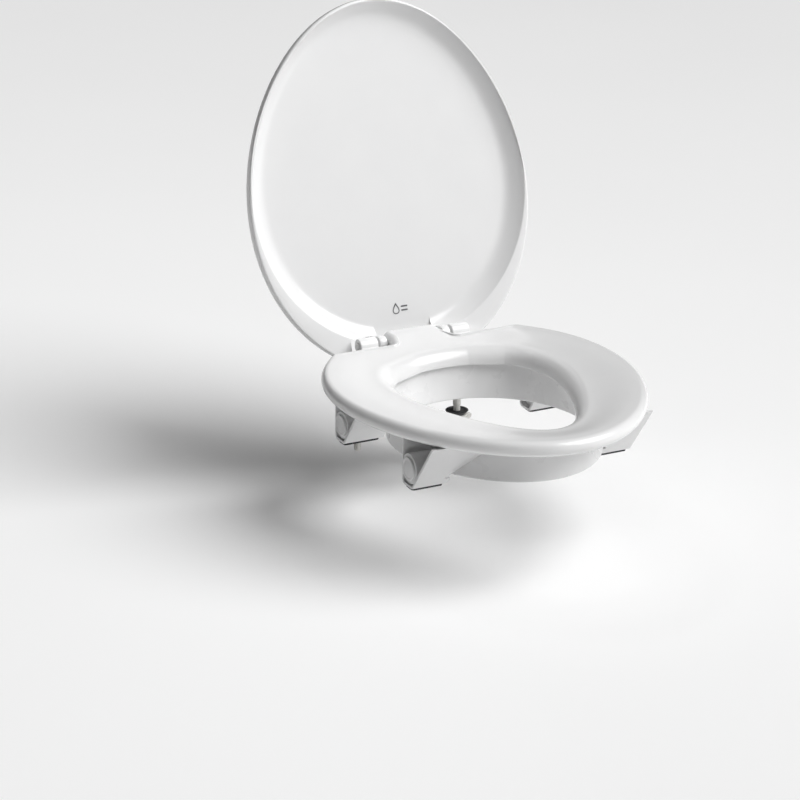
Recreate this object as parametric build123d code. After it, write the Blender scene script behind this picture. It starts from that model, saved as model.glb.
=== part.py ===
from build123d import *
import math
import os

# Raised toilet seat.  Millimetres.  Origin midway between the two mounting bolts on the plane
# of the bowl rim, +Z up, the front of the seat towards -Y, hinges at the back.

# ---- driving dimensions ------------------------------------------------------------------
BOLT_SPACING = 139.7        # standard distance between the bowl's seat bolt holes
HINGE_Y, HINGE_Z = -14.0, 77.0
LID_OPEN_ANGLE = 105.0

RING_WIDTH, RING_LENGTH, RING_BACK = 368.0, 441.5, 2.0
RING_TAPER, RING_BLUNT = 0.089, -0.028
RING_TOP, RING_BOTTOM = 88.0, 69.0
DISH_DEPTH = 4.0            # the seating surface falls towards the opening
DISH_INSET = 12.0

OPEN_WIDTH, OPEN_LENGTH, OPEN_BACK = 194.6, 274.6, -96.0
OPEN_TAPER, OPEN_BLUNT = 0.099, 0.089
OPEN_FILLET = 19.5
LIP_BOTTOM, LIP_WALL = 63.5, 5.5

TONGUE_HALF, TONGUE_ROOT = 37.0, 44.5   # the ring's own hinge tongue between the two posts
NOTCH_FRONT = -46.0         # straight rear edge of the ring either side of the tongue
NOTCH_CORNER = 18.0
SOLID_BACK = -62.0          # behind this line the ring moulding is not hollowed

PLATE_INSET, PLATE_THICK = 13.0, 3.5
CAVITY_TOP = 79.0
BLOCK_WIDTH = 26.0          # solid band round the opening

GUARD_WIDTH, GUARD_LENGTH, GUARD_BACK, GUARD_TAPER = 248.0, 291.0, -90.0, 0.035
GUARD_BOTTOM, GUARD_WALL = 19.0, 3.0
GUARD_FLANGE_THICK, GUARD_FLANGE_OUT = 3.0, 24.0

LEG_WALL, LEG_BOTTOM, LEG_INNER_X = 3.0, 3.0, 100.0
# name: outer face x, rear wall y, front toe y, front wall y at the top, boss y, z, radius
LEGS = {
    "front": (145.0, -273.0, -299.0, -350.5, -290.5, 26.0, 18.0),
    "rear": (152.0, -109.0, -133.0, -183.5, -125.5, 25.0, 16.5),
}
CAP_PROUD = 2.0

LID_WIDTH, LID_FRONT, LID_EGG_BACK = 374.0, -435.0, 26.0
LID_TAPER, LID_BLUNT = 0.099, -0.052
LID_BACK = HINGE_Y + 24.0
LID_BASE, LID_THICK, LID_PANEL = 88.6, 20.0, 5.0
LID_RECESS_BACK = HINGE_Y + 13.0
# recess under the lid: egg width, length, back, taper, blunt at the rim and at the panel
RECESS_RIM = (366.0, 423.0, -8.0, 0.099, -0.05)
RECESS_FOOT = (326.0, 389.0, -26.0, 0.10, -0.05)
RECESS_FILLET = 8.0

EAR_IN, EAR_OUT, EAR_R = 38.6, 48.5, 9.0
BARREL_IN, BARREL_OUT, BARREL_R = 51.5, 75.0, 9.7
PIN_R, PIN_IN, PIN_CLEAR = 3.0, 20.0, 0.08

COLUMN_FRONT, COLUMN_BACK = HINGE_Y - 13.5, HINGE_Y - 5.7
LID_SLOT_FRONT = HINGE_Y - 8.5

BASE_BOTTOM, BASE_TOP = 1.5, 9.0
SHANK_R, SHANK_END, BOLT_END = 5.0, -25.0, -64.0
THREAD_R = 4.5
DECK = 34.0                 # thickness of bowl deck the bolts are drawn for


# ---- helpers -----------------------------------------------------------------------------
def egg_points(width, length, back, taper, blunt=0.0, count=40):
    points = []
    for i in range(count):
        t = 2 * math.pi * i / count
        x = width / 2 * (math.sin(t) + taper * math.sin(2 * t))
        s = length / 2 * (1 - math.cos(t)) + length / 2 * blunt * (math.cos(2 * t) - 1)
        points.append((x, back - s))
    return points


def egg_wire(width, length, back, taper, z, blunt=0.0):
    points = [Vector(x, y, z) for x, y in egg_points(width, length, back, taper, blunt)]
    return Wire([Edge.make_spline(points, periodic=True)])


def egg_slab(width, length, back, taper, z0, z1, blunt=0.0):
    return extrude(Face(egg_wire(width, length, back, taper, z0, blunt)), z1 - z0, (0, 0, 1))


def ring_slab(inset, z0, z1):
    return egg_slab(RING_WIDTH - 2 * inset, RING_LENGTH - 2 * inset, RING_BACK - inset,
                    RING_TAPER, z0, z1, RING_BLUNT)


def opening_wire(out, z):
    return egg_wire(OPEN_WIDTH + 2 * out, OPEN_LENGTH + 2 * out, OPEN_BACK + out, OPEN_TAPER, z, OPEN_BLUNT)


def opening_slab(out, z0, z1):
    return extrude(Face(opening_wire(out, z0)), z1 - z0, (0, 0, 1))


def block(x0, x1, y0, y1, z0, z1):
    return Pos((x0 + x1) / 2, (y0 + y1) / 2, (z0 + z1) / 2) * Box(abs(x1 - x0), abs(y1 - y0), abs(z1 - z0))


def rod_x(x0, x1, y, z, radius):
    return Pos((x0 + x1) / 2, y, z) * Rot(0, 90, 0) * Cylinder(radius, abs(x1 - x0))


def rod_z(x, y, z0, z1, radius):
    return Pos(x, y, (z0 + z1) / 2) * Cylinder(radius, z1 - z0)


def edges_at(shape, z):
    return [e for e in shape.edges() if abs(e.bounding_box().min.Z - z) < 0.02
            and abs(e.bounding_box().max.Z - z) < 0.02]


def mirrored(shape):
    return mirror(shape, Plane.YZ)


def between(y0, y1, t, width, taper, blunt=0.0):
    """Point at parameter t of the egg running from back y0 to front y1."""
    x = width / 2 * (math.sin(t) + taper * math.sin(2 * t))
    return x, y0 - (y0 - y1) / 2 * (1 - math.cos(t) + blunt * (math.cos(2 * t) - 1))


parts = {}

# ---- seat ring ---------------------------------------------------------------------------
outline = Face(egg_wire(RING_WIDTH, RING_LENGTH, RING_BACK, RING_TAPER, RING_BOTTOM, RING_BLUNT))
for side in (-1, 1):
    notch = make_face(Polyline(
        (side * TONGUE_ROOT, NOTCH_FRONT, RING_BOTTOM), (side * TONGUE_HALF, HINGE_Y - 9, RING_BOTTOM),
        (side * TONGUE_HALF, 40, RING_BOTTOM), (side * 200, 40, RING_BOTTOM),
        (side * 200, NOTCH_FRONT, RING_BOTTOM), close=True).edges())
    outline -= notch


def outline_corners(y0, y1):
    return [v for v in outline.vertices() if y0 < v.Y < y1 and abs(v.X) > 10]


back_line = (NOTCH_FRONT - 1, NOTCH_FRONT + 1)
outline = fillet([v for v in outline_corners(*back_line) if abs(v.X) > 90], NOTCH_CORNER)
outline = fillet([v for v in outline_corners(*back_line) if abs(v.X) < 50], 4.0)
outline = fillet(outline_corners(HINGE_Y - 10, HINGE_Y - 8), 16.0)
outline = fillet(outline_corners(HINGE_Y, 10), 11.0)
ring = extrude(outline, RING_TOP - RING_BOTTOM, (0, 0, 1))
ring = fillet(edges_at(ring, RING_TOP) + edges_at(ring, RING_BOTTOM), (RING_TOP - RING_BOTTOM) / 2 - 0.1)
ring += opening_slab(LIP_WALL, LIP_BOTTOM, RING_BOTTOM + 4)
dish_floor = RING_TOP - DISH_DEPTH
dish = Solid.make_loft([
    opening_wire(21, dish_floor),
    egg_wire(RING_WIDTH - 2 * DISH_INSET, RING_LENGTH - 2 * DISH_INSET, RING_BACK - DISH_INSET,
             RING_TAPER, RING_TOP + 0.1, RING_BLUNT)], True)
ring -= dish
ring -= opening_slab(0, LIP_BOTTOM - 5, RING_TOP + 5)
mouth = [e for e in edges_at(ring, dish_floor) if e.bounding_box().size.X < OPEN_WIDTH + 16]
ring = fillet(mouth, OPEN_FILLET)

back_mask = block(-200, 200, SOLID_BACK, 60, 50, 100)
cavity = ring_slab(PLATE_INSET, RING_BOTTOM - 1, 75) + ring_slab(9.5, 74, CAVITY_TOP)
cavity -= opening_slab(BLOCK_WIDTH, RING_BOTTOM - 2, CAVITY_TOP + 1)
cavity -= back_mask
mid_back = (RING_BACK - PLATE_INSET + OPEN_BACK + BLOCK_WIDTH) / 2
mid_front = (RING_BACK - RING_LENGTH + PLATE_INSET + OPEN_BACK - OPEN_LENGTH - BLOCK_WIDTH) / 2
mid_width = (RING_WIDTH - 2 * PLATE_INSET + OPEN_WIDTH + 2 * BLOCK_WIDTH) / 2
plate_screws = []
for angle in (40, 91, 144, 168):
    px, py = between(mid_back, mid_front, math.radians(angle), mid_width, 0.09)
    plate_screws += [(px, py), (-px, py)]
for px, py in plate_screws:
    cavity -= rod_z(px, py, RING_BOTTOM + PLATE_THICK, CAVITY_TOP + 1, 6.0)
ring -= cavity
for px, py in plate_screws:
    ring -= rod_z(px, py, RING_BOTTOM, CAVITY_TOP + 1, 1.8)
guard_screws = []
for angle in (20, 88, 150):
    px, py = between(OPEN_BACK + 17, OPEN_BACK - OPEN_LENGTH - 17, math.radians(angle),
                     OPEN_WIDTH + 34, OPEN_TAPER, OPEN_BLUNT)
    guard_screws += [(px, py), (-px, py)]
for px, py in guard_screws:
    ring -= rod_z(px, py, RING_BOTTOM - 1, RING_BOTTOM + 9, 1.8)
for side in (-1, 1):
    ring -= rod_x(side * (PIN_IN - 1), side * (TONGUE_HALF + 1), HINGE_Y, HINGE_Z, PIN_R + PIN_CLEAR)
parts["seat_ring"] = ring

plate = ring_slab(PLATE_INSET + 0.3, RING_BOTTOM, RING_BOTTOM + PLATE_THICK)
plate -= opening_slab(BLOCK_WIDTH + 0.3, RING_BOTTOM - 1, RING_BOTTOM + PLATE_THICK + 1)
plate -= block(-200, 200, SOLID_BACK - 0.3, 60, 50, 100)
for px, py in plate_screws:
    plate -= rod_z(px, py, RING_BOTTOM - 1, RING_BOTTOM + PLATE_THICK + 1, 2.3)
parts["ring_base"] = plate

# ---- splash guard ------------------------------------------------------------------------
def guard_loft(shrink):
    top = 9.5 - shrink
    return Solid.make_loft([
        opening_wire(top, RING_BOTTOM),
        egg_wire(GUARD_WIDTH - 2 * shrink, GUARD_LENGTH - 2 * shrink, GUARD_BACK - shrink,
                 GUARD_TAPER, GUARD_BOTTOM)], True)


flange_z = RING_BOTTOM - GUARD_FLANGE_THICK
guard_body = guard_loft(0) + opening_slab(GUARD_FLANGE_OUT, flange_z, RING_BOTTOM)
guard = guard_body - guard_loft(GUARD_WALL)
for px, py in guard_screws:
    guard -= rod_z(px, py, flange_z - 1, RING_BOTTOM + 1, 2.3)
parts["splash_guard"] = guard


# ---- legs, their caps and pads -----------------------------------------------------------
def leg_profile(rear, toe, front_top, top, inset):
    """Face in the YZ plane: upright rear wall, sloping front wall, narrow rounded foot."""
    lean = math.hypot(toe - front_top, top - LEG_BOTTOM) / (top - LEG_BOTTOM)
    slope = (toe - front_top) / (top - LEG_BOTTOM)
    low = LEG_BOTTOM + inset
    high = top + inset
    front_low = toe + inset * lean - slope * inset
    front_high = front_low - slope * (high - low)
    corners = [(rear - inset, high), (rear - inset, low), (front_low, low), (front_high, high)]
    face = make_face(Polyline(*[(0, y, z) for y, z in corners], close=True).edges())
    foot = [v for v in face.vertices() if abs(v.Z - low) < 0.01]
    return fillet(foot, 6.0 - inset * 0.6)


for place, (outer, rear, toe, front_top, boss_y, boss_z, boss_r) in LEGS.items():
    inner = 52.0
    shell = extrude(leg_profile(rear, toe, front_top, RING_BOTTOM, 0), outer - inner, (1, 0, 0))
    hollow = extrude(leg_profile(rear, toe, front_top, RING_BOTTOM, LEG_WALL), outer - inner + 20, (1, 0, 0))
    shell = Pos(inner, 0, 0) * shell
    hollow = Pos(inner - 10, 0, 0) * hollow
    web = block(107, 110, rear, front_top, 0, RING_BOTTOM)
    boss = rod_x(108, outer - 1.0, boss_y, boss_z, boss_r)
    leg = shell - (hollow - web - boss)
    leg -= guard_body
    leg -= block(0, LEG_INNER_X, -400, 0, -5, GUARD_BOTTOM)
    leg -= block(0, LEG_INNER_X - 4, rear + 1, (rear + toe) / 2, -5, RING_BOTTOM + 1)
    leg -= rod_x(outer - 14, outer, boss_y, boss_z, 8.05)
    leg = max(leg.solids(), key=lambda s: s.volume)
    cap = rod_x(outer - 1.0, outer + CAP_PROUD, boss_y, boss_z, boss_r - 3.5)
    cap = chamfer(cap.edges().sort_by(Axis.X)[-1:], 0.8)
    cap += rod_x(outer - 13, outer - 1.0, boss_y, boss_z, 8.0)
    pad = block(LEG_INNER_X + 3, outer - 2, rear - 4, toe + 3, 0, LEG_BOTTOM)
    pad = fillet(pad.edges().filter_by(Axis.Z), 4)
    for side, name in ((1, "right"), (-1, "left")):
        parts[f"leg_{place}_{name}"] = leg if side > 0 else mirrored(leg)
        parts[f"leg_cap_{place}_{name}"] = cap if side > 0 else mirrored(cap)
        parts[f"foot_pad_{place}_{name}"] = pad if side > 0 else mirrored(pad)


# ---- screws ------------------------------------------------------------------------------
def pan_screw(x, y, under_head, length, core):
    head = rod_z(x, y, under_head - 2.2, under_head, 3.9)
    head = fillet(head.edges().sort_by(Axis.Z)[:1], 1.2)
    head -= block(x - 2.4, x + 2.4, y - 0.5, y + 0.5, under_head - 2.3, under_head - 1.0)
    head -= block(x - 0.5, x + 0.5, y - 2.4, y + 2.4, under_head - 2.3, under_head - 1.0)
    return head + rod_z(x, y, under_head, under_head + length, core)


for i, (px, py) in enumerate(plate_screws):
    parts[f"base_screw_{i + 1}"] = pan_screw(px, py, RING_BOTTOM, 9.0, 1.75)
for i, (px, py) in enumerate(guard_screws):
    parts[f"guard_screw_{i + 1}"] = pan_screw(px, py, flange_z, 11.0, 1.75)

# ---- hinge posts and mounting hardware ---------------------------------------------------
half = BOLT_SPACING / 2
foot = Pos(half, -4, 0) * RectangleRounded(44, 48, 12)
base = extrude(Pos(0, 0, BASE_BOTTOM) * foot, BASE_TOP - BASE_BOTTOM)
base = fillet(edges_at(base, BASE_TOP), 2.0)
column = block(BARREL_IN, BARREL_OUT, COLUMN_FRONT, COLUMN_BACK, BASE_TOP - 3, HINGE_Z)
column = fillet(column.edges().filter_by(Axis.Z), 2.5)
post = base + column
for gx in (BARREL_IN + 2.6, BARREL_OUT - 5.6):
    rib = make_face(Polyline((gx, COLUMN_BACK - 1, BASE_TOP - 1), (gx, COLUMN_BACK + 8.5, BASE_TOP - 1),
                             (gx, COLUMN_BACK - 1, 40), close=True).edges())
    post += extrude(rib, 3, (1, 0, 0))
post += rod_x(BARREL_IN, BARREL_OUT, HINGE_Y, HINGE_Z, BARREL_R)
post -= rod_x(BARREL_IN - 1, BARREL_OUT + 1, HINGE_Y, HINGE_Z, PIN_R + 0.02)
post -= rod_z(half, 0, 0, BASE_TOP + 1, 5.4)
post -= rod_z(half, 0, 0, 3.0, 7.5)

pad = extrude(foot, BASE_BOTTOM) - rod_z(half, 0, -1, 3, 7.5)

bolt = rod_z(half, 0, BASE_TOP, BASE_TOP + 4.0, 8.5)
bolt = fillet(edges_at(bolt, BASE_TOP + 4.0), 2.0)
bolt -= block(half - 6, half + 6, -0.9, 0.9, BASE_TOP + 2.2, BASE_TOP + 5)
bolt += rod_z(half, 0, 1.0, BASE_TOP, 4.6)
bolt += rod_z(half, 0, SHANK_END, 1.0, SHANK_R)
thread = rod_z(half, 0, BOLT_END, SHANK_END, THREAD_R)
bolt += chamfer(edges_at(thread, BOLT_END), 0.8)

washer = Pos(half, 0, -DECK - 2.5) * Cone(10.0, 15.0, 5.0)
washer -= rod_z(half, 0, -DECK - 6, -DECK + 1, THREAD_R + 0.3)
nut_top = -DECK - 5.0
nut = extrude(Pos(half, 0, nut_top - 12) * RegularPolygon(9.5, 6), 12)
nut = nut + rod_z(half, 0, nut_top - 2.5, nut_top, 13.0)
for side in (-1, 1):
    nut += block(half + side * 7, half + side * 20, -2, 2, nut_top - 11, nut_top - 2)
nut -= rod_z(half, 0, nut_top - 13, nut_top + 1, THREAD_R + 0.05)

cap = rod_z(half, 0, BASE_TOP, BASE_TOP + 7.0, 10.0)
cap = fillet(edges_at(cap, BASE_TOP + 7.0), 2.5)
cap -= rod_z(half, 0, BASE_TOP - 1, BASE_TOP + 4.3, 8.6)

pin = rod_x(PIN_IN, BARREL_OUT, HINGE_Y, HINGE_Z, PIN_R)
pin += rod_x(BARREL_OUT, BARREL_OUT + 2.5, HINGE_Y, HINGE_Z, 5.0)
bushing = rod_x(TONGUE_HALF + 0.2, EAR_IN - 0.2, HINGE_Y, HINGE_Z, 6.0)
bushing -= rod_x(TONGUE_HALF - 1, EAR_IN + 1, HINGE_Y, HINGE_Z, PIN_R + 0.02)
for name, shape in (("hinge_post", post), ("post_pad", pad), ("mount_bolt", bolt), ("deck_washer", washer),
                    ("wing_nut", nut), ("bolt_cap", cap), ("hinge_pin", pin), ("hinge_bushing", bushing)):
    parts[f"{name}_right"] = shape
    parts[f"{name}_left"] = mirrored(shape)


# ---- lid, modelled closed and then swung open ---------------------------------------------
def lid_face(inset, back_limit, corner, z):
    face = Face(egg_wire(LID_WIDTH - 2 * inset, LID_EGG_BACK - LID_FRONT - 2 * inset,
                         LID_EGG_BACK - inset, LID_TAPER, z, LID_BLUNT))
    face -= Pos(0, back_limit + 50, z) * Rectangle(400, 100)
    return fillet(face.vertices(), corner)


lid_top = LID_BASE + LID_THICK
lid = extrude(lid_face(0, LID_BACK, 18, LID_BASE), LID_THICK, (0, 0, 1))
lid = fillet(edges_at(lid, lid_top), 9.0)
lid = fillet(edges_at(lid, LID_BASE), 3.0)
lid_floor = lid_top - LID_PANEL
rim_width, rim_length, rim_back, rim_taper, rim_blunt = RECESS_RIM
foot_width, foot_length, foot_back, foot_taper, foot_blunt = RECESS_FOOT
recess = Solid.make_loft([
    egg_wire(rim_width, rim_length, rim_back, rim_taper, LID_BASE - 0.05, rim_blunt),
    egg_wire(foot_width, foot_length, foot_back, foot_taper, lid_floor, foot_blunt)], True)
recess = fillet(edges_at(recess, lid_floor), RECESS_FILLET)
relief = block(-EAR_IN, EAR_IN, HINGE_Y - 30, LID_RECESS_BACK, LID_BASE - 1, lid_floor)
lid -= recess
lid -= fillet(relief.edges().filter_by(Axis.Z).sort_by(Axis.Y)[-2:], 6.0)
for side in (-1, 1):
    ear = rod_x(side * EAR_IN, side * EAR_OUT, HINGE_Y, HINGE_Z, EAR_R)
    ear += block(side * EAR_IN, side * EAR_OUT, HINGE_Y - EAR_R, HINGE_Y + EAR_R, HINGE_Z, lid_floor + 1)
    lid += ear
    lid -= rod_x(side * (EAR_IN - 1), side * (EAR_OUT + 1), HINGE_Y, HINGE_Z, PIN_R + PIN_CLEAR)
    lid -= block(side * (BARREL_IN - 1.4), side * (BARREL_OUT + 3.5), LID_SLOT_FRONT, 60, 60, 130)
emblem = extrude(Pos(0, HINGE_Y - 37, lid_floor - 0.3) * RectangleRounded(24, 16, 5), 0.3)
hinge_axis = Axis((0, HINGE_Y, HINGE_Z), (-1, 0, 0))
parts["lid"] = lid.rotate(hinge_axis, LID_OPEN_ANGLE)
parts["lid_emblem"] = emblem.rotate(hinge_axis, LID_OPEN_ANGLE)

# ---- write -------------------------------------------------------------------------------
os.makedirs("parts", exist_ok=True)
for name, shape in parts.items():
    export_step(shape, f"parts/{name}.step")
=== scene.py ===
import bisect
import bpy
import bmesh
import math
from mathutils import Matrix, Vector


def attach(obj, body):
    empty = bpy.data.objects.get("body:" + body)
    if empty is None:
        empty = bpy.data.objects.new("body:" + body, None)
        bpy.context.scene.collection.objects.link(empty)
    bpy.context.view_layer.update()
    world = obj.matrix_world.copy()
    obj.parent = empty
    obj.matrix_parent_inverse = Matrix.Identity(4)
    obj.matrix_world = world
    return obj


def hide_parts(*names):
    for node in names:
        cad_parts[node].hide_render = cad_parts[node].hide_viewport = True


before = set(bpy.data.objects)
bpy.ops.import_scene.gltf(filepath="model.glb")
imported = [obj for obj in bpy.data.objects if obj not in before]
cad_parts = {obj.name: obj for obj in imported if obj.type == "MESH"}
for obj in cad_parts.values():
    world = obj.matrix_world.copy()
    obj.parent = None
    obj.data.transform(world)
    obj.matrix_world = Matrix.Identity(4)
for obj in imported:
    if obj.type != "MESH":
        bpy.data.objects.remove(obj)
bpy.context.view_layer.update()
scene = bpy.context.scene

# Raised toilet seat.  Shapes are worked out in millimetres and scaled to metres when a piece
# is finished.  Origin midway between the mounting bolts on the bowl rim, front towards -Y.

# ---- dimensions --------------------------------------------------------------------------
AROUND = 256                # points round each egg outline
SEAT_MIDDLE, LID_MIDDLE = -230.0, -205.0    # y that spokes start from, y that lid loops shrink to
SHARP_EDGE = 38.0           # degrees; a flatter edge is shaded smooth
HINGE_Y, HINGE_Z, LID_ANGLE = -14.0, 77.0, 105.0

RING_WIDTH, RING_LENGTH, RING_BACK, RING_TAPER, RING_BLUNT = 368.0, 441.5, 2.0, 0.089, -0.028
RING_TOP, RING_BOTTOM, RING_ROUND = 88.0, 69.0, 9.4
DISH, DISH_INSET, DISH_REACH = 4.0, 12.0, 0.9
OPEN_WIDTH, OPEN_LENGTH, OPEN_BACK, OPEN_TAPER, OPEN_BLUNT = 194.6, 274.6, -96.0, 0.099, 0.089
MOUTH_ROUND, LIP_BOTTOM, LIP_WALL = 19.5, 63.5, 5.5
TONGUE, TONGUE_ROOT, NOTCH_FRONT, NOTCH_CORNER, SOLID_BACK = 37.0, 44.5, -46.0, 18.0, -62.0
PLATE_INSET, PLATE_THICK, BLOCK_WIDTH = 13.0, 3.5, 26.0

GUARD_WIDTH, GUARD_LENGTH, GUARD_BACK, GUARD_TAPER = 248.0, 291.0, -90.0, 0.035
GUARD_BOTTOM, GUARD_WALL, GUARD_TOP_OUT, FLANGE_OUT, FLANGE_Z = 19.0, 3.0, 9.5, 24.0, 66.0

# outer face x, rear wall y, toe y, front wall y at the top, boss y, z, radius
LEGS = {"front": (145.0, -273.0, -299.0, -350.5, -290.5, 26.0, 18.0),
        "rear": (152.0, -109.0, -133.0, -183.5, -125.5, 25.0, 16.5)}
LEG_WALL, LEG_BOTTOM, LEG_INNER = 3.0, 3.0, 100.0
LEG_START, WEB_IN, WEB_OUT = 60.0, 107.0, 110.0

LID_WIDTH, LID_FRONT, LID_EGG_BACK, LID_TAPER, LID_BLUNT = 374.0, -435.0, 26.0, 0.099, -0.052
LID_BACK, LID_BASE, LID_TOP, LID_FLOOR = 10.0, 88.6, 108.6, 103.6
LID_CORNER, RELIEF_BACK, CROWN, LID_ROUND, LID_EDGE = 18.0, -1.0, 2.0, 9.0, 3.0
# recess under the lid: egg width, length, back, taper, blunt at the rim and at the panel
RECESS_RIM = (366.0, 423.0, -8.0, 0.099, -0.05)
RECESS_FOOT = (326.0, 389.0, -26.0, 0.10, -0.05)
RECESS_END = 1.35           # share of that way at which the wall has run out into the panel

EAR_IN, EAR_OUT, EAR_R = 38.6, 48.5, 9.0
BARREL_IN, BARREL_OUT, BARREL_R, PIN_R = 51.5, 75.0, 9.7, 3.0
COLUMN_FRONT, COLUMN_BACK, SLOT_FRONT = HINGE_Y - 13.5, HINGE_Y - 5.7, HINGE_Y - 8.5
BOLT_X = 69.85
BASE_BOTTOM, BASE_TOP, SHANK_END, BOLT_END, DECK = 1.5, 9.0, -25.0, -64.0, 34.0
BOLT_HOLE_R, COUNTERBORE_R, GUARD_SCREW_OUT = 5.4, 7.5, 17.0


# ---- outlines ----------------------------------------------------------------------------
def egg(width, length, back, taper, blunt=0.0):
    line = []
    for i in range(AROUND):
        t = 2 * math.pi * i / AROUND
        x = width / 2 * (math.sin(t) + taper * math.sin(2 * t))
        s = length / 2 * (1 - math.cos(t)) + length / 2 * blunt * (math.cos(2 * t) - 1)
        line.append((x, back - s))
    return line


def ring_line(inset):
    return egg(RING_WIDTH - 2 * inset, RING_LENGTH - 2 * inset, RING_BACK - inset, RING_TAPER, RING_BLUNT)


def open_line(out):
    return egg(OPEN_WIDTH + 2 * out, OPEN_LENGTH + 2 * out, OPEN_BACK + out, OPEN_TAPER, OPEN_BLUNT)


def guard_line(inset):
    return egg(GUARD_WIDTH - 2 * inset, GUARD_LENGTH - 2 * inset, GUARD_BACK - inset, GUARD_TAPER)


def mix(a, b, k):
    return [tuple(p + (q - p) * k for p, q in zip(u, v)) for u, v in zip(a, b)]


def at(line, z):
    return [(x, y, z) for x, y in line]


def lid_line(inset):
    """The lid's egg, cut straight at the back with round corners and set in by inset."""
    width, length = LID_WIDTH - 2 * LID_CORNER, LID_EGG_BACK - LID_FRONT - 2 * LID_CORNER

    def point(t):
        x = width / 2 * (math.sin(t) + LID_TAPER * math.sin(2 * t))
        s = length / 2 * (1 - math.cos(t)) + length / 2 * LID_BLUNT * (math.cos(2 * t) - 1)
        return x, LID_EGG_BACK - LID_CORNER - s

    low, high = 0.05, 1.4
    for _ in range(40):
        t0 = (low + high) / 2
        low, high = (t0, high) if point(t0)[1] > LID_BACK - LID_CORNER else (low, t0)
    reach = LID_CORNER - inset
    line = []

    def add(p, angle):
        line.append((p[0] + reach * math.cos(angle), p[1] + reach * math.sin(angle)))

    def normal(t):
        (x0, y0), (x1, y1) = point(t - 1e-4), point(t + 1e-4)
        return math.atan2(x1 - x0, -(y1 - y0))

    side, fan, back = 220, 10, 24
    for i in range(side):
        t = t0 + (2 * math.pi - 2 * t0) * i / (side - 1)
        add(point(t), normal(t))
    left, right = point(2 * math.pi - t0), point(t0)
    start = normal(2 * math.pi - t0) % (2 * math.pi)
    for i in range(1, fan + 1):
        add(left, start + (math.pi / 2 - start) * i / fan)
    for i in range(1, back):
        add((left[0] + (right[0] - left[0]) * i / back, left[1]), math.pi / 2)
    end = normal(t0)
    for i in range(fan):
        add(right, math.pi / 2 + (end - math.pi / 2) * i / fan)
    return line


def fillet(corners, steps=6):
    """Polygon from (a, b, radius) corners, each rounded to its radius."""
    line = []
    count = len(corners)
    for i, (px, py, r) in enumerate(corners):
        if r <= 0:
            line.append((px, py))
            continue
        p = Vector((px, py))
        u = (Vector(corners[i - 1][:2]) - p).normalized()
        v = (Vector(corners[(i + 1) % count][:2]) - p).normalized()
        half = math.acos(max(-1, min(1, u.dot(v)))) / 2
        centre = p + (u + v).normalized() * (r / math.sin(half))
        a = (p + u * (r / math.tan(half)) - centre).normalized()
        b = (p + v * (r / math.tan(half)) - centre).normalized()
        for k in range(steps + 1):
            q = centre + a.slerp(b, k / steps) * r
            line.append((q.x, q.y))
    return line


def rounded(cx, cy, width, height, radius):
    w, h = width / 2, height / 2
    return fillet([(cx - w, cy - h, radius), (cx + w, cy - h, radius),
                   (cx + w, cy + h, radius), (cx - w, cy + h, radius)], 8)


def arc(centre_a, centre_b, radius, start, end, steps):
    """Points on an arc, start and end in degrees."""
    for k in range(steps + 1):
        a = math.radians(start + (end - start) * k / steps)
        yield centre_a + radius * math.cos(a), centre_b + radius * math.sin(a)


# ---- mesh helpers ------------------------------------------------------------------------
def skin(loops, closed=False):
    """Vertices and faces joining loops of equal length: a face on each end, or the last to the first."""
    n, m = len(loops[0]), len(loops)
    verts = [p for loop in loops for p in loop]
    faces = []
    for j in range(m if closed else m - 1):
        a, b = j * n, (j + 1) % m * n
        faces += [(a + i, a + (i + 1) % n, b + (i + 1) % n, b + i) for i in range(n)]
    if not closed:
        faces += [tuple(range(n))[::-1], tuple(range((m - 1) * n, m * n))]
    return verts, faces


def work(geometry):
    """A working object in millimetres."""
    verts, faces = geometry
    mesh = bpy.data.meshes.new("work")
    mesh.from_pydata(verts, [], faces)
    bm = bmesh.new()
    bm.from_mesh(mesh)
    bmesh.ops.recalc_face_normals(bm, faces=bm.faces)
    bm.to_mesh(mesh)
    bm.free()
    obj = bpy.data.objects.new("work", mesh)
    scene.collection.objects.link(obj)
    return obj


def bake(obj):
    graph = bpy.context.evaluated_depsgraph_get()
    graph.update()
    mesh = bpy.data.meshes.new_from_object(obj.evaluated_get(graph))
    obj.modifiers.clear()
    obj.data = mesh
    return obj


def combine(obj, other, operation):
    modifier = obj.modifiers.new("combine", "BOOLEAN")
    modifier.operation, modifier.solver, modifier.object = operation, "EXACT", other
    bake(obj)
    bpy.data.objects.remove(other)


def cut(obj, *others):
    for other in others:
        combine(obj, other, "DIFFERENCE")
    return obj


def fuse(obj, *others):
    for other in others:
        combine(obj, other, "UNION")
    return obj


def soften(obj, width, angle, segments=2):
    modifier = obj.modifiers.new("soften", "BEVEL")
    modifier.width, modifier.segments = width, segments
    modifier.limit_method, modifier.angle_limit = "ANGLE", math.radians(angle)
    return bake(obj)


def prism_x(line, x0, x1):
    return work(skin([[(x, a, b) for a, b in line] for x in (x0, x1)]))


def prism_z(line, z0, z1):
    return work(skin([at(line, z0), at(line, z1)]))


def block(x0, x1, y0, y1, z0, z1):
    return prism_z([(x0, y0), (x1, y0), (x1, y1), (x0, y1)], z0, z1)


def lathe(profile, centre, axis="z", segments=64, closed=False):
    """Turned shape from (radius, height) pairs, about an axis along x or z through centre."""
    loops = []
    for r, h in profile:
        loop = []
        for i in range(segments):
            a = 2 * math.pi * i / segments
            c, s = r * math.cos(a), r * math.sin(a)
            loop.append((centre[0] + c, centre[1] + s, centre[2] + h) if axis == "z"
                        else (centre[0] + h, centre[1] + c, centre[2] + s))
        loops.append(loop)
    return work(skin(loops, closed))


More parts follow.
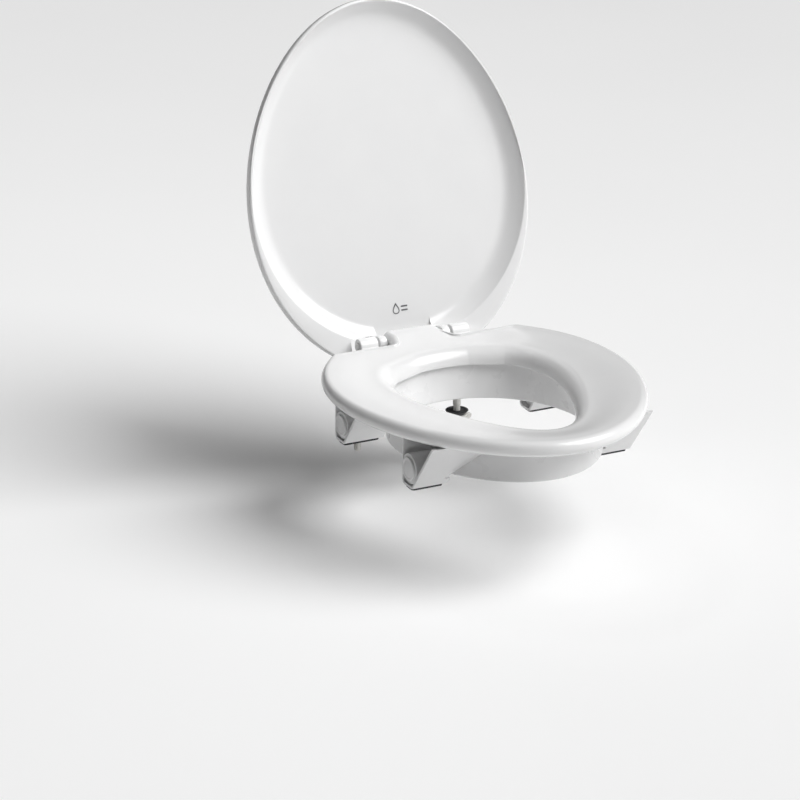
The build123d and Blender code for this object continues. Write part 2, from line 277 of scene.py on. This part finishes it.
def thread(x, y, z0, z1, crest, depth, pitch, segments=28):
    """A screw thread standing along z: the radius follows a helix."""
    loops = []
    steps = int((z1 - z0) / pitch * 6)
    for k in range(steps + 1):
        z = z0 + (z1 - z0) * k / steps
        fade = min(1.0, (z - z0) / pitch + 0.2, (z1 - z) / pitch + 0.2)
        loop = []
        for i in range(segments):
            a = 2 * math.pi * i / segments
            wave = abs((z / pitch - i / segments) % 1.0 - 0.5) * 2
            r = crest - depth * (1 - fade + fade * wave)
            loop.append((x + r * math.cos(a), y + r * math.sin(a), z))
        loops.append(loop)
    return work(skin(loops))


QUARTER_TURN = [math.pi / 2 * k / 5 for k in range(6)]


def rod(r, h0, h1, edge=0.0):
    """Profile of a rod with its two ends rounded by edge."""
    if not edge:
        return [(r, h0), (r, h1)]
    low = [(r - edge + edge * math.sin(a), h0 + edge - edge * math.cos(a)) for a in QUARTER_TURN]
    high = [(r - edge + edge * math.cos(a), h1 - edge + edge * math.sin(a)) for a in QUARTER_TURN]
    return low + high


def mirrored(obj):
    twin = obj.copy()
    twin.data = obj.data.copy()
    scene.collection.objects.link(twin)
    twin.data.transform(Matrix.Scale(-1, 4, (1, 0, 0)))
    twin.data.flip_normals()
    return twin


def piece(obj, name, material, body, nodes):
    """Finishes a working object: metres, smooth shading, material, body, nodes replaced."""
    obj.name = obj.data.name = name
    obj.data.transform(Matrix.Scale(0.001, 4))
    obj.data.shade_smooth()
    obj.data.set_sharp_from_angle(angle=math.radians(SHARP_EDGE))
    obj.data.materials.append(material)
    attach(obj, body)
    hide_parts(*nodes)
    return obj


def pair(obj, name, material, body, node):
    """The right-hand piece and its mirror image."""
    twin = mirrored(obj)
    for side, shape in (("right", obj), ("left", twin)):
        piece(shape, f"{name}_{side}_shape", material, body, [f"{node}_{side}"])


# ---- materials ---------------------------------------------------------------------------
def surface(name, colour, shade, rough, rough_spread, grain, grain_depth, patch=14.0, metal=0.0,
            sss=0.0):
    """Moulded or turned surface: patchy tone, uneven gloss and a fine grain."""
    material = bpy.data.materials.new(name)
    material.use_nodes = True
    tree = material.node_tree
    shader = tree.nodes["Principled BSDF"]
    shader.inputs["Metallic"].default_value = metal
    shader.inputs["IOR"].default_value = 1.5
    if sss:
        shader.inputs["Subsurface Weight"].default_value = sss
        shader.inputs["Subsurface Radius"].default_value = (1.0, 0.95, 0.9)
        shader.inputs["Subsurface Scale"].default_value = 0.002
    place = tree.nodes.new("ShaderNodeTexCoord").outputs["Object"]

    def noise(scale, detail):
        node = tree.nodes.new("ShaderNodeTexNoise")
        node.inputs["Scale"].default_value = scale
        node.inputs["Detail"].default_value = detail
        tree.links.new(place, node.inputs["Vector"])
        return node.outputs["Fac"]

    def spread(value, low, high):
        node = tree.nodes.new("ShaderNodeMapRange")
        node.inputs["From Min"].default_value, node.inputs["From Max"].default_value = 0.3, 0.7
        node.inputs["To Min"].default_value, node.inputs["To Max"].default_value = low, high
        tree.links.new(value, node.inputs["Value"])
        return node.outputs["Result"]

    tone = tree.nodes.new("ShaderNodeMix")
    tone.data_type = "RGBA"
    tone.inputs["A"].default_value = (*shade, 1)
    tone.inputs["B"].default_value = (*colour, 1)
    tree.links.new(spread(noise(patch, 3.0), 0.0, 1.0), tone.inputs["Factor"])
    tree.links.new(tone.outputs["Result"], shader.inputs["Base Color"])
    gloss = spread(noise(patch * 2.6, 4.0), rough, rough + rough_spread)
    tree.links.new(gloss, shader.inputs["Roughness"])
    bump = tree.nodes.new("ShaderNodeBump")
    bump.inputs["Strength"].default_value = 0.35
    bump.inputs["Distance"].default_value = grain_depth
    tree.links.new(noise(grain, 2.0), bump.inputs["Height"])
    tree.links.new(bump.outputs["Normal"], shader.inputs["Normal"])
    return material


gloss_ring = surface("gloss_ring_plastic", (0.77, 0.77, 0.77),
                     (0.76, 0.76, 0.762), 0.16, 0.06, 260.0, 0.00003)
gloss_lid = surface("gloss_lid_plastic", (0.80, 0.80, 0.80),
                    (0.785, 0.785, 0.787), 0.15, 0.06, 240.0, 0.00003)
satin_guard = surface("satin_guard_plastic", (0.77, 0.77, 0.77),
                      (0.758, 0.758, 0.76), 0.26, 0.05, 900.0, 0.00004)
satin_leg = surface("satin_leg_plastic", (0.75, 0.75, 0.75),
                    (0.735, 0.735, 0.737), 0.32, 0.07, 1100.0, 0.00005)
satin_cap = surface("satin_cap_plastic", (0.78, 0.78, 0.78),
                    (0.765, 0.765, 0.767), 0.28, 0.06, 1000.0, 0.00004)
gloss_post = surface("gloss_post_plastic", (0.82, 0.82, 0.82),
                     (0.79, 0.79, 0.792), 0.18, 0.07, 500.0, 0.00003)
nylon = surface("natural_nylon", (0.72, 0.71, 0.68),
                (0.66, 0.65, 0.62), 0.34, 0.10, 700.0, 0.00005, sss=0.15)
nylon_white = surface("white_nylon", (0.78, 0.78, 0.77), (0.74, 0.74, 0.73), 0.30, 0.08, 800.0, 0.00004)
bushing_white = surface("bushing_acetal", (0.74, 0.74, 0.73),
                        (0.70, 0.70, 0.69), 0.28, 0.08, 900.0, 0.00003)
pad_rubber = surface("pad_rubber", (0.045, 0.045, 0.047),
                     (0.028, 0.028, 0.03), 0.62, 0.16, 1500.0, 0.00010, 60.0)
washer_rubber = surface("washer_rubber", (0.06, 0.06, 0.062),
                        (0.04, 0.04, 0.042), 0.55, 0.15, 1300.0, 0.00008, 60.0)
steel = surface("plated_steel", (0.62, 0.62, 0.61),
                (0.50, 0.50, 0.50), 0.22, 0.14, 1800.0, 0.00003, 90.0, 1.0)
print_grey = surface("printed_grey", (0.10, 0.10, 0.105),
                     (0.16, 0.16, 0.165), 0.38, 0.12, 2200.0, 0.00002, 160.0)
floor_white = surface("studio_floor", (0.96, 0.96, 0.96),
                      (0.95, 0.95, 0.95), 0.75, 0.1, 60.0, 0.00002, 0.6)


# ---- seat ring ---------------------------------------------------------------------------
def bearing(x, y):
    """Angle of a point seen from the middle of the seat, zero straight back."""
    return math.atan2(x, y - SEAT_MIDDLE)


class Spokes:
    """Looks up where a spoke from the middle of the seat meets an outline."""

    def __init__(self, line):
        self.rays = sorted((bearing(x, y), math.hypot(x, y - SEAT_MIDDLE)) for x, y in line)
        first, last = self.rays[0], self.rays[-1]
        self.rays = [(last[0] - 2 * math.pi, last[1])] + self.rays + [(first[0] + 2 * math.pi, first[1])]

    def reach(self, angle):
        k = bisect.bisect_right(self.rays, (angle, 0.0))
        (a0, r0), (a1, r1) = self.rays[k - 1], self.rays[k]
        return r0 + (r1 - r0) * (angle - a0) / (a1 - a0)

    def points(self, angles):
        return [(self.reach(a) * math.sin(a), self.reach(a) * math.cos(a) + SEAT_MIDDLE) for a in angles]


def ring_outline():
    """The ring's edge: an egg cut straight at the back on both sides of the hinge tongue."""
    half = [p for p in ring_line(0)[:AROUND // 2 + 1] if p[1] < NOTCH_FRONT - 13]
    (x1, y1), (x0, y0) = half[0], half[1]
    corner_x = x1 + (x1 - x0) * (NOTCH_FRONT - y1) / (y1 - y0)
    right = [(TONGUE, RING_BACK, 11), (TONGUE, HINGE_Y - 9, 16), (TONGUE_ROOT, NOTCH_FRONT, 4),
             (corner_x, NOTCH_FRONT, NOTCH_CORNER)]
    right += [(x, y, 0) for x, y in half[:-1]]
    left = [(-x, y, r) for x, y, r in right][::-1]
    middle = [(x, RING_BACK, 0) for x in (-18, 0, 18)]
    return fillet(right + [(0, ring_line(0)[AROUND // 2][1], 0)] + left + middle, 8)


def moved_in(line, distance):
    """Moves each point of a smooth outline inwards, square to the outline."""
    moved = []
    for k, (x, y) in enumerate(line):
        (xa, ya), (xb, yb) = line[k - 1], line[(k + 1) % len(line)]
        a, b = Vector((x - xa, y - ya)), Vector((xb - x, yb - y))
        way = (a.normalized() + b.normalized()).normalized()
        moved.append((x + way.y * distance, y - way.x * distance))
    return moved


ring_edge = ring_outline()
angles = [bearing(x, y) for x, y in ring_edge]
mouth, dish_rim = Spokes(open_line(MOUTH_ROUND)), Spokes(ring_line(DISH_INSET))


def mouth_loop(out, z):
    return at(Spokes(open_line(out)).points(angles), z)


def dished(x, y):
    """A point on the seating surface, which falls smoothly towards the opening."""
    angle = bearing(x, y)
    low, high = mouth.reach(angle), dish_rim.reach(angle)
    share = (math.hypot(x, y - SEAT_MIDDLE) - low) / (high - low) / DISH_REACH
    share = min(1.0, max(0.0, share))
    return x, y, RING_TOP - DISH * (1 - share * share * (3 - 2 * share))


ring_loops = [mouth_loop(out, z) for out, z in arc(0.8, LIP_BOTTOM + 0.8, 0.8, 270, 180, 3)]
ring_loops += [mouth_loop(out, z)
               for out, z in arc(MOUTH_ROUND, RING_TOP - DISH - MOUTH_ROUND, MOUTH_ROUND, 180, 90, 16)]
for k in range(1, 18):
    between_lines = mix(mouth.points(angles), moved_in(ring_edge, RING_ROUND), k / 18)
    ring_loops.append([dished(x, y) for x, y in between_lines])
for across, z in arc(0, RING_TOP - RING_ROUND, RING_ROUND, 90, -90, 24):
    ring_loops.append(at(moved_in(ring_edge, RING_ROUND + 0.02 - across), z))
ring_loops += [mouth_loop(LIP_WALL + 2, RING_BOTTOM + 0.2), mouth_loop(LIP_WALL, RING_BOTTOM - 1.0)]
ring_loops += [mouth_loop(out, z) for out, z in arc(LIP_WALL - 0.8, LIP_BOTTOM + 0.8, 0.8, 0, -90, 3)]
ring = work(skin(ring_loops, closed=True))


def plate_shape(gap, z0, z1):
    plate = prism_z(ring_line(PLATE_INSET + gap), z0, z1)
    return cut(plate, prism_z(open_line(BLOCK_WIDTH + gap), z0 - 1, z1 + 1),
               block(-200, 200, SOLID_BACK - gap, 60, z0 - 1, z1 + 1))


cut(ring, plate_shape(0.0, RING_BOTTOM - 2, RING_BOTTOM + PLATE_THICK + 0.2))
cut(ring, lathe(rod(PIN_R + 0.08, -40, 40), (0, HINGE_Y, HINGE_Z), "x", 32))
piece(ring, "ring_shape", gloss_ring, "seat", ["seat_ring"])

base_plate = soften(plate_shape(0.3, RING_BOTTOM, RING_BOTTOM + PLATE_THICK), 0.5, 40)
piece(base_plate, "ring_base_shape", satin_guard, "seat", ["ring_base"])

# ---- splash guard ------------------------------------------------------------------------
def guard_at(inset, z):
    share = (RING_BOTTOM - z) / (RING_BOTTOM - GUARD_BOTTOM)
    return at(mix(open_line(GUARD_TOP_OUT - inset), guard_line(inset), share), z)


guard_loops = []
for k in range(13):
    guard_loops.append(guard_at(GUARD_WALL, RING_BOTTOM - 0.1 - (RING_BOTTOM - GUARD_BOTTOM - 2.0) * k / 12))
for inset, z in arc(GUARD_WALL / 2, GUARD_BOTTOM + 1.5, 1.5, 0, -180, 8):
    guard_loops.append(guard_at(inset, z))
for k in range(12):
    guard_loops.append(guard_at(0.0, GUARD_BOTTOM + 2.5 + (FLANGE_Z - 5.5 - GUARD_BOTTOM) * k / 11))
for out, z in ((GUARD_TOP_OUT + 1.2, FLANGE_Z - 1.0), (GUARD_TOP_OUT + 3.2, FLANGE_Z),
               (FLANGE_OUT - 1, FLANGE_Z), (FLANGE_OUT, FLANGE_Z + 1), (FLANGE_OUT, RING_BOTTOM - 0.1)):
    guard_loops.append(at(open_line(out), z))
piece(work(skin(guard_loops, closed=True)), "guard_shape", satin_guard, "seat",
      ["splash_guard"])


# ---- legs --------------------------------------------------------------------------------
def leg_strip(rear, toe, front_top, top, wall):
    """Rear wall, foot and sloping front wall as one bent strip in the YZ plane."""
    slope = (toe - front_top) / (top - LEG_BOTTOM)
    lean = math.hypot(1, slope)
    inner_toe = toe + wall * lean - slope * wall
    inner_front = inner_toe - slope * (top - LEG_BOTTOM - wall)
    return fillet([(rear, top, 0), (rear, LEG_BOTTOM, 6), (toe, LEG_BOTTOM, 6), (front_top, top, 0),
                   (inner_front, top, 0), (inner_toe, LEG_BOTTOM + wall, 4),
                   (rear - wall, LEG_BOTTOM + wall, 4), (rear - wall, top, 0)])


def guard_core():
    """The space inside the guard's outer face, flange included."""
    body = work(skin([guard_at(0.0, RING_BOTTOM + 1), guard_at(0.0, GUARD_BOTTOM - 6)]))
    return fuse(body, prism_z(open_line(FLANGE_OUT + 0.05), FLANGE_Z - 0.05, RING_BOTTOM + 1))


for place, (outer, rear, toe, front_top, boss_y, boss_z, boss_r) in LEGS.items():
    top = RING_BOTTOM - 0.1
    leg = prism_x(leg_strip(rear, toe, front_top, top, LEG_WALL), LEG_START, outer)
    web_line = leg_strip(rear - 1, toe + 1, front_top + 1, top, 1.0)[:15]
    fuse(leg, prism_x(web_line, WEB_IN, WEB_OUT))
    fuse(leg, lathe(rod(boss_r, 0, outer - WEB_OUT), (WEB_OUT - 1, boss_y, boss_z), "x", 72))
    cut(leg, guard_core(), block(0, LEG_INNER, -400, 0, -5, GUARD_BOTTOM))
    soften(leg, 0.7, 40, 3)
    pair(leg, f"leg_{place}", satin_leg, "seat", f"leg_{place}")
    cap_r = boss_r - 3.5
    cap = lathe([(cap_r - 0.6, -0.9), (cap_r, -0.3), (cap_r, 1.0), (cap_r - 0.4, 1.7), (cap_r - 1.2, 2.0),
                 (cap_r - 3.4, 2.0), (cap_r - 3.8, 1.6), (cap_r - 4.6, 1.6), (cap_r - 5.0, 1.9), (1.5, 2.0)],
                (outer, boss_y, boss_z), "x", 72)
    pair(cap, f"leg_cap_{place}", satin_cap, "seat", f"leg_cap_{place}")
    pad_line = rounded((LEG_INNER + 1 + outer) / 2, (rear + toe - 1) / 2, outer - LEG_INNER - 5,
                       rear - toe - 7, 4.0)
    pad = soften(prism_z(pad_line, 0, LEG_BOTTOM), 0.5, 50)
    pair(pad, f"foot_pad_{place}", pad_rubber, "seat", f"foot_pad_{place}")

# ---- lid, shaped closed and then swung open ------------------------------------------------
def recess_line(share):
    """The recess outline part of the way from the rim to the panel."""
    egg_terms = [a + (b - a) * share for a, b in zip(RECESS_RIM, RECESS_FOOT)]
    return Spokes(egg(*egg_terms)).points([bearing(x, y) for x, y in lid_edge])


def towards_middle(line, share):
    return [(x * share, LID_MIDDLE + (y - LID_MIDDLE) * share) for x, y in line]


lid_edge = lid_line(0.0)
lid_loops = []
for k in range(1, 17):
    share = k / 17
    lid_loops.append(at(towards_middle(lid_line(LID_ROUND), share), LID_TOP - CROWN * share ** 2))
for across, z in arc(0, LID_TOP - CROWN - LID_ROUND, LID_ROUND, 90, 0, 12):
    lid_loops.append(at(lid_line(LID_ROUND - across), z))
for across, z in arc(0, LID_BASE + LID_EDGE, LID_EDGE, 0, -90, 8):
    lid_loops.append(at(lid_line(LID_EDGE - across), z))
for share, rise in ((-0.05, 0.0), (-0.015, 0.012), (0.015, 0.04), (0.05, 0.085), (0.10, 0.15), (0.20, 0.27),
                    (0.32, 0.405), (0.45, 0.54), (0.58, 0.665), (0.70, 0.77), (0.80, 0.845), (0.90, 0.905),
                    (1.0, 0.95), (1.10, 0.978), (1.22, 0.994), (RECESS_END, 1.0)):
    lid_loops.append(at(recess_line(share), LID_BASE + (LID_FLOOR - LID_BASE) * rise))
for k in range(15, 0, -1):
    lid_loops.append(at(towards_middle(recess_line(RECESS_END), k / 16), LID_FLOOR))
lid = work(skin(lid_loops))
relief = [(-EAR_IN, RELIEF_BACK - 40, 0), (EAR_IN, RELIEF_BACK - 40, 0),
          (EAR_IN, RELIEF_BACK, 6), (-EAR_IN, RELIEF_BACK, 6)]
cut(lid, prism_z(fillet(relief), LID_BASE - 1, LID_FLOOR - 0.02))
for side in (-1, 1):
    x0, x1 = sorted((side * (BARREL_IN - 1.4), side * (BARREL_OUT + 3.5)))
    cut(lid, block(x0, x1, SLOT_FRONT, 60, 60, 130))
    x0, x1 = sorted((side * EAR_IN, side * EAR_OUT))
    ear_line = [(HINGE_Y + y, HINGE_Z + z) for y, z in arc(0, 0, EAR_R, 180, 360, 24)]
    ear_line += [(HINGE_Y + EAR_R, LID_FLOOR + 1), (HINGE_Y - EAR_R, LID_FLOOR + 1)]
    fuse(lid, soften(prism_x(ear_line, x0, x1), 0.8, 40))
swing = (Matrix.Translation((0, HINGE_Y, HINGE_Z)) @ Matrix.Rotation(math.radians(-LID_ANGLE), 4, "X")
         @ Matrix.Translation((0, -HINGE_Y, -HINGE_Z)))
lid.data.transform(swing)
piece(lid, "lid_shape", gloss_lid, "lid", ["lid"])

# ---- print on the lid --------------------------------------------------------------------
def glyph(line, below=0.28, above=0.02):
    """Thin print on the lid's panel, its top towards the front of the closed lid."""
    return prism_z([(x, HINGE_Y - 37 - y) for x, y in line], LID_FLOOR - below, LID_FLOOR + above)


def drop(width, low, high):
    """Outline of a water drop with its point at the top."""
    line = []
    for k in range(48):
        a = 2 * math.pi * k / 48
        x = width / 2 * math.sin(a) * math.sin(a / 2) ** 1.3
        line.append((-5.5 + x, high - (high - low) * (1 - math.cos(a)) / 2))
    return line


emblem = cut(glyph(drop(12.5, -7.2, 7.2)), glyph(drop(9.6, -5.9, 4.2), 2, 2))
for y in (-3.2, 1.6):
    fuse(emblem, glyph(rounded(6.0, y, 9.0, 1.9, 0.9)))
emblem.data.transform(swing)
piece(emblem, "emblem_shape", print_grey, "lid", ["lid_emblem"])

# ---- hinge posts ---------------------------------------------------------------------------
foot = (BOLT_X, -4.0, 44.0, 48.0)
post = work(skin([at(rounded(*foot, 12.0), BASE_BOTTOM)] + [
    at(rounded(foot[0], foot[1], foot[2] - 4 * (1 - math.cos(a)), foot[3] - 4 * (1 - math.cos(a)),
               12.0 - 2 * (1 - math.cos(a))), BASE_TOP - 2 + 2 * math.sin(a)) for a in QUARTER_TURN]))
column_y = (COLUMN_FRONT + COLUMN_BACK) / 2
column_x = (BARREL_IN + BARREL_OUT) / 2
fuse(post, prism_z(rounded(column_x, column_y, BARREL_OUT - BARREL_IN, COLUMN_BACK - COLUMN_FRONT, 2.5),
                   BASE_TOP - 3, HINGE_Z))
for x in (BARREL_IN + 2.6, BARREL_OUT - 5.6):
    fuse(post, prism_x([(COLUMN_BACK - 1, BASE_TOP - 1), (COLUMN_BACK + 8.5, BASE_TOP - 1),
                        (COLUMN_BACK - 1, 40)], x, x + 3))
fuse(post, lathe(rod(BARREL_R, BARREL_IN, BARREL_OUT, 0.9), (0, HINGE_Y, HINGE_Z), "x", 72))
cut(post, lathe(rod(PIN_R + 0.02, BARREL_IN - 1, BARREL_OUT + 1), (0, HINGE_Y, HINGE_Z), "x", 40),
    lathe(rod(BOLT_HOLE_R, 0, BASE_TOP + 1), (BOLT_X, 0, 0)),
    lathe(rod(COUNTERBORE_R, 0, 3.0), (BOLT_X, 0, 0)))
soften(post, 0.6, 50)
pair(post, "hinge_post", gloss_post, "mount", "hinge_post")

pad = cut(prism_z(rounded(*foot, 12.0), 0, BASE_BOTTOM), lathe(rod(COUNTERBORE_R, -1, 3), (BOLT_X, 0, 0)))
soften(pad, 0.3, 50)
pair(pad, "post_pad", pad_rubber, "mount", "post_pad")

cap = lathe([(0.6, BASE_TOP + 4.3), (8.6, BASE_TOP + 4.3), (8.6, BASE_TOP),
             (9.6, BASE_TOP), (10.0, BASE_TOP + 0.4)]
            + [(7.0 + 3.0 * math.cos(a), BASE_TOP + 4.0 + 3.0 * math.sin(a)) for a in QUARTER_TURN[:-1]]
            + [(6.4, BASE_TOP + 6.97), (3.0, BASE_TOP + 7.0), (0.6, BASE_TOP + 7.0)], (BOLT_X, 0, 0))
pair(cap, "bolt_cap", gloss_post, "mount", "bolt_cap")

# ---- bolts, washers, wing nuts -------------------------------------------------------------
head = [(8.1, BASE_TOP), (8.5, BASE_TOP + 0.4)]
head += [(6.5 + 2.0 * math.cos(a), BASE_TOP + 2.0 + 2.0 * math.sin(a)) for a in QUARTER_TURN]
bolt = lathe([(5.0, SHANK_END - 2), (5.0, 0.6), (4.6, 1.0), (4.6, BASE_TOP)] + head, (BOLT_X, 0, 0))
cut(bolt, block(BOLT_X - 6, BOLT_X + 6, -0.9, 0.9, BASE_TOP + 2.2, BASE_TOP + 5))
fuse(bolt, thread(BOLT_X, 0, BOLT_END, SHANK_END + 1, 4.5, 0.75, 2.0))
pair(bolt, "mount_bolt", nylon, "mount", "mount_bolt")

washer = lathe([(4.8, -DECK - 5), (9.6, -DECK - 5), (10.2, -DECK - 4.6), (14.6, -DECK - 0.5), (14.4, -DECK),
                (11.0, -DECK), (10.4, -DECK - 0.5), (7.4, -DECK - 0.5), (6.8, -DECK), (4.8, -DECK)],
               (BOLT_X, 0, 0), closed=True)
pair(washer, "deck_washer", washer_rubber, "mount", "deck_washer")

nut_top = -DECK - 5.0
nut = lathe([(12.4, nut_top - 2.5), (13.0, nut_top - 1.9), (13.0, nut_top - 0.6), (12.4, nut_top)],
            (BOLT_X, 0, 0))
hexagon = [(BOLT_X + 9.5 * math.cos(math.radians(a)), 9.5 * math.sin(math.radians(a)), 0.8)
           for a in range(0, 360, 60)]
fuse(nut, prism_z(fillet(hexagon, 4), nut_top - 12, nut_top - 1))
wing = [(7, nut_top - 10, 0), (13, nut_top - 11, 2), (20, nut_top - 7, 3), (20, nut_top - 2.2, 2),
        (7, nut_top - 1.6, 0)]
for side in (-1, 1):
    line = fillet([(BOLT_X + side * x, z, r) for x, z, r in wing], 5)
    fuse(nut, work(skin([[(x, y, z) for x, z in line] for y in (-2, 2)])))
cut(nut, lathe(rod(4.55, nut_top - 13, nut_top + 1), (BOLT_X, 0, 0)))
soften(nut, 0.5, 45)
pair(nut, "wing_nut", nylon, "mount", "wing_nut")

# ---- hinge pins and spacers ----------------------------------------------------------------
pin = lathe([(2.4, 20.0), (PIN_R, 20.6), (PIN_R, 75.02), (4.7, 75.02), (5.0, 75.3), (5.0, 76.6),
             (4.4, 77.4), (3.2, 77.5), (1.6, 77.5), (1.2, 77.0)], (0, HINGE_Y, HINGE_Z), "x", 48)
pair(pin, "hinge_pin", nylon_white, "mount", "hinge_pin")
spacer_in, spacer_out = TONGUE + 0.2, EAR_IN - 0.2
spacer = lathe([(PIN_R + 0.04, spacer_in), (5.7, spacer_in), (6.0, spacer_in + 0.3), (6.0, spacer_out - 0.3),
                (5.7, spacer_out), (PIN_R + 0.04, spacer_out)], (0, HINGE_Y, HINGE_Z), "x", 48, closed=True)
pair(spacer, "hinge_bushing", bushing_white, "seat", "hinge_bushing")


# ---- screws --------------------------------------------------------------------------------
def along(y0, y1, degrees, width, taper, blunt=0.0):
    """Point of the egg running from back y0 to front y1 at a given parameter angle."""
    t = math.radians(degrees)
    x = width / 2 * (math.sin(t) + taper * math.sin(2 * t))
    return x, y0 - (y0 - y1) / 2 * (1 - math.cos(t) + blunt * (math.cos(2 * t) - 1))


def screw(node, x, y, under_head, length):
    """A cross-head screw pointing up, with its head below under_head."""
    low = under_head - 2.2
    body = lathe([(2.6, low), (3.2, low + 0.25), (3.65, low + 0.7), (3.9, low + 1.4),
                  (3.9, under_head - 0.05), (1.5, under_head - 0.05), (1.5, under_head + 0.8)],
                 (x, y, 0), segments=40)
    cut(body, block(x - 2.4, x + 2.4, y - 0.5, y + 0.5, low - 1, low + 1.2),
        block(x - 0.5, x + 0.5, y - 2.4, y + 2.4, low - 1, low + 1.2))
    fuse(body, thread(x, y, under_head + 0.4, under_head + length, 1.75, 0.35, 1.1, 20))
    piece(body, f"{node}_shape", steel, "seat", [node])


plate_back = (RING_BACK - PLATE_INSET + OPEN_BACK + BLOCK_WIDTH) / 2
plate_front = (RING_BACK - RING_LENGTH + PLATE_INSET + OPEN_BACK - OPEN_LENGTH - BLOCK_WIDTH) / 2
plate_width = (RING_WIDTH - 2 * PLATE_INSET + OPEN_WIDTH + 2 * BLOCK_WIDTH) / 2
spots = [along(plate_back, plate_front, a, plate_width, 0.09) for a in (40, 91, 144, 168)]
for k, (x, y) in enumerate((side * x, y) for x, y in spots for side in (1, -1)):
    screw(f"base_screw_{k + 1}", x, y, RING_BOTTOM, 9.0)
spots = [along(OPEN_BACK + GUARD_SCREW_OUT, OPEN_BACK - OPEN_LENGTH - GUARD_SCREW_OUT, a,
               OPEN_WIDTH + 2 * GUARD_SCREW_OUT, OPEN_TAPER, OPEN_BLUNT) for a in (20, 88, 150)]
for k, (x, y) in enumerate((side * x, y) for x, y in spots for side in (1, -1)):
    screw(f"guard_screw_{k + 1}", x, y, FLANGE_Z, 11.0)

# ---- floor (clear of the lid swung right back), light, camera ------------------------------
FLOOR_SIZE, FLOOR_CORNER, FLOOR_TOP, FLOOR_THICK = 40000, 8000, -98.0, 32.0
floor_edge = rounded(0, 0, FLOOR_SIZE, FLOOR_SIZE, FLOOR_CORNER)
floor = prism_z(floor_edge, FLOOR_TOP - FLOOR_THICK, FLOOR_TOP)
floor.name = "floor"
floor.data.transform(Matrix.Scale(0.001, 4))
floor.data.materials.append(floor_white)

AZIMUTH, ELEVATION = math.radians(-26.68), math.radians(20.31)
camera = bpy.data.objects.new("camera", bpy.data.cameras.new("camera"))
scene.collection.objects.link(camera)
camera.location = (-1.6938, -3.3499, 1.3798)
camera.rotation_mode = "QUATERNION"
look_back = Vector((math.sin(AZIMUTH) * math.cos(ELEVATION), -math.cos(AZIMUTH) * math.cos(ELEVATION),
                    math.sin(ELEVATION)))
camera.rotation_quaternion = (-look_back).to_track_quat("-Z", "Y")
camera.data.sensor_width, camera.data.lens = 36.0, 143.985
camera.data.clip_start, camera.data.clip_end = 0.05, 60.0
scene.camera = camera


def aim(light, azimuth, elevation, distance):
    """Puts a light round the object at an azimuth and elevation, shining at it."""
    a, e = math.radians(azimuth), math.radians(elevation)
    way = Vector((math.sin(a) * math.cos(e), -math.cos(a) * math.cos(e), math.sin(e)))
    light.location = Vector((0, -0.2, 0.1)) + way * distance
    light.rotation_mode = "QUATERNION"
    light.rotation_quaternion = (-way).to_track_quat("-Z", "Y")
    scene.collection.objects.link(light)


def sun(name, azimuth, elevation, power, angle):
    light = bpy.data.objects.new(name, bpy.data.lights.new(name, "SUN"))
    light.data.energy, light.data.angle = power, math.radians(angle)
    aim(light, azimuth, elevation, 5)


def softbox(name, azimuth, elevation, distance, width, height, power):
    light = bpy.data.objects.new(name, bpy.data.lights.new(name, "AREA"))
    light.data.shape, light.data.size, light.data.size_y = "RECTANGLE", width, height
    light.data.energy = power
    aim(light, azimuth, elevation, distance)


sun("key", 50, 46, 3.4, 50)
softbox("overhead", 20, 84, 2.4, 2.2, 2.2, 7.0)
softbox("strip_right", 62, 30, 2.0, 0.25, 1.6, 2.0)
softbox("strip_back", 192, 55, 2.0, 0.5, 0.25, 2.0)
world = bpy.data.worlds.new("studio")
world.use_nodes = True
sky = world.node_tree
place = sky.nodes.new("ShaderNodeTexCoord").outputs["Generated"]
side = sky.nodes.new("ShaderNodeVectorMath")
side.operation = "DOT_PRODUCT"
side.inputs[1].default_value = (0.62, -0.35, 0.70)
sky.links.new(place, side.inputs[0])
shade = sky.nodes.new("ShaderNodeMapRange")
shade.inputs["From Min"].default_value, shade.inputs["From Max"].default_value = -0.5, 0.9
shade.inputs["To Min"].default_value, shade.inputs["To Max"].default_value = 0.07, 0.74
sky.links.new(side.outputs["Value"], shade.inputs["Value"])
sky.links.new(shade.outputs["Result"], sky.nodes["Background"].inputs["Strength"])
scene.world = world
scene.view_settings.view_transform = "Standard"
